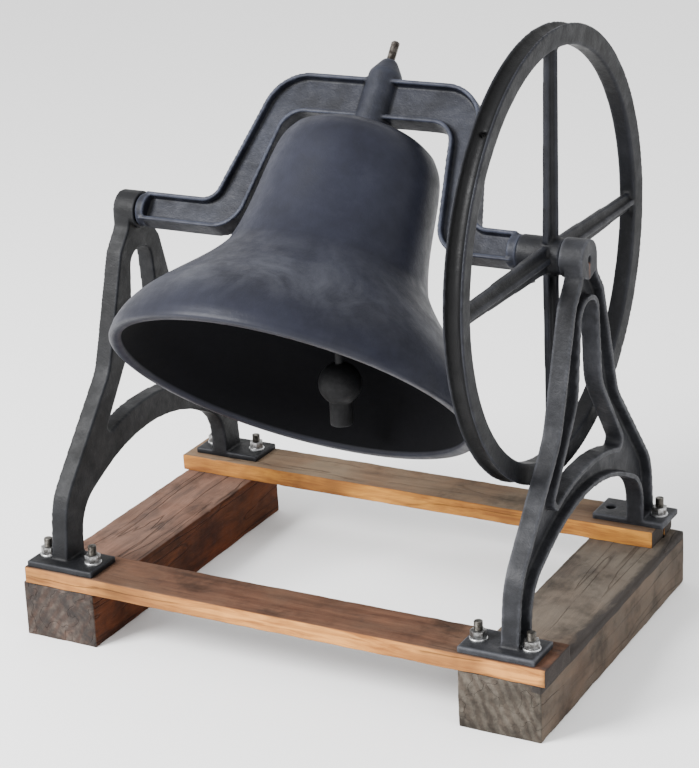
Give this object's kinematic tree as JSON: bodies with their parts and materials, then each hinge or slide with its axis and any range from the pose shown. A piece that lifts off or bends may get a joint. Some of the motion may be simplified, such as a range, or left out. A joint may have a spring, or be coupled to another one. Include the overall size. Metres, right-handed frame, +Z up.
{
  "type": "church bell",
  "caption": "Swinging bell hung by an arched yoke between two cast stands on a timber base, with a grooved rope wheel on one trunnion and a clapper inside.",
  "frame": {"origin": "on the ground, midway between the two stands and midway between the front and back bolt lines", "axes": "+X along the trunnion axis towards the rope wheel, -Y towards the side the bell's mouth leans to, +Z up"},
  "size_m": [0.793, 0.6338, 0.848],
  "materials": {
    "left_beam_timber": "weathered reddish brown timber with darker end grain",
    "right_beam_timber": "weathered grey timber",
    "front_board_timber": "weathered board, fresh yellow on its cut front edge",
    "back_board_timber": "weathered board, fresh yellow on its cut front edge",
    "stand_iron": "dark painted rough casting, satin",
    "yoke_iron": "dark painted rough casting, satin",
    "wheel_iron": "dark painted rough casting, satin",
    "bell_iron": "dark blue-black painted casting, satin",
    "clapper_iron": "dark casting",
    "bolt_steel": "dark threaded steel",
    "washer_zinc": "bright zinc",
    "nut_steel": "dull zinc",
    "screw_steel": "black steel",
    "crown_bolt_steel": "dull threaded steel, slightly rusty",
    "inner_steel": "dull steel",
    "cotter_steel": "bare steel wire"
  },
  "bodies": {
    "base": {"left_beam": "left_beam_timber", "right_beam": "right_beam_timber", "front_board": "front_board_timber", "back_board": "back_board_timber", "left_stand": "stand_iron", "right_stand": "stand_iron", "foot_bolts": "bolt_steel", "foot_washers": "washer_zinc", "foot_nuts": "nut_steel"},
    "swing": {"yoke": "yoke_iron", "rope_wheel": "wheel_iron", "wheel_screw": "screw_steel", "bell": "bell_iron", "crown_bolt": "crown_bolt_steel", "crown_washer": "inner_steel", "crown_nut": "inner_steel"},
    "clapper": {"clapper_arm": "clapper_iron", "clapper_pin": "inner_steel", "clapper_cotter": "cotter_steel", "clapper_ball": "clapper_iron"}
  },
  "joints": [
    {"name": "bell_swing", "type": "hinge", "parent": "base", "child": "swing", "pos_m": [0, 0, 0.55307], "axis": [1, 0, 0], "continuous": true},
    {"name": "clapper_swing", "type": "hinge", "parent": "swing", "child": "clapper", "pos_m": [-0.007, -0.01671, 0.53315], "axis": [1, 0, 0], "range_deg": [-92, 12]}
  ]
}
